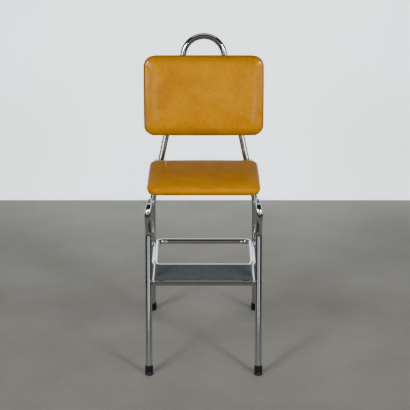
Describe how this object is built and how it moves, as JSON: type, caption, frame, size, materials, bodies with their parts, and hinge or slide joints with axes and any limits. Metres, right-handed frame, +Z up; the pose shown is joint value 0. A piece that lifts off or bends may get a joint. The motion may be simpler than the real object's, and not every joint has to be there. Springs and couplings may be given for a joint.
{
  "type": "folding step stool chair",
  "caption": "Tall folding kitchen chair of bent chromed tube with a padded seat and backrest, a carrying loop and a fold-out tray step on a bow",
  "frame": {"origin": "middle of the chair's footprint, on the floor under the rubber feet", "axes": "+Z up, -Y is the front where the user sits and steps up, +X to the right of someone who looks at the front"},
  "size_m": [0.419, 0.5636, 1.0309],
  "materials": {
    "chrome": "polished chrome plate on steel tube and sheet",
    "zinc": "bright zinc plate, satin",
    "rubber": "moulded black rubber",
    "vinyl": "grained mustard vinyl, semi-gloss",
    "plywood": "stained plywood",
    "mat": "fine ribbed dark rubber mat"
  },
  "bodies": {
    "rear_frame": {"rear_frame_tube": "chrome", "backrest_board": "plywood", "backrest_cushion": "vinyl", "rear_foot_left": "rubber", "backrest_bolt_lower_left": "zinc", "backrest_bolt_upper_left": "zinc", "seat_lug_left": "chrome", "step_lug_left": "chrome", "seat_pivot_rivet_left": "zinc", "bow_pivot_rivet_left": "zinc", "rear_foot_right": "rubber", "backrest_bolt_lower_right": "zinc", "backrest_bolt_upper_right": "zinc", "seat_lug_right": "chrome", "step_lug_right": "chrome", "seat_pivot_rivet_right": "zinc", "bow_pivot_rivet_right": "zinc"},
    "seat": {"seat_board": "plywood", "seat_cushion": "vinyl", "seat_plate_left": "zinc", "seat_screw_left_1": "zinc", "seat_screw_left_2": "zinc", "seat_screw_left_3": "zinc", "seat_plate_right": "zinc", "seat_screw_right_1": "zinc", "seat_screw_right_2": "zinc", "seat_screw_right_3": "zinc"},
    "front_legs": {"front_leg_left": "chrome", "front_foot_left": "rubber", "neck_rivet_left": "zinc", "tread_pin_left": "zinc", "front_leg_right": "chrome", "front_foot_right": "rubber", "neck_rivet_right": "zinc", "tread_pin_right": "zinc"},
    "step": {"step_tray": "chrome", "step_mat": "mat", "step_bow": "chrome", "bow_rivet_front_left": "zinc", "bow_rivet_rear_left": "zinc", "crossbar_rivet_left": "zinc", "bow_rivet_front_right": "zinc", "bow_rivet_rear_right": "zinc", "crossbar_rivet_right": "zinc"}
  },
  "joints": [
    {"name": "seat_fold", "type": "hinge", "parent": "rear_frame", "child": "seat", "pos_m": [0, 0.18201, 0.592], "axis": [-1, 0, 0], "range_deg": [0, 68]},
    {"name": "front_legs_fold", "type": "hinge", "parent": "seat", "child": "front_legs", "pos_m": [0, -0.13302, 0.55512], "axis": [-1, 0, 0], "range_deg": [-74.6, 0]},
    {"name": "step_fold", "type": "hinge", "parent": "rear_frame", "child": "step", "pos_m": [0, 0.15873, 0.2952], "axis": [-1, 0, 0], "range_deg": [0, 62.3]}
  ],
  "couplings": [
    {"joint": "front_legs_fold", "follows": "seat_fold", "ratio": -1.0951},
    {"joint": "step_fold", "follows": "seat_fold", "ratio": 0.9137}
  ]
}
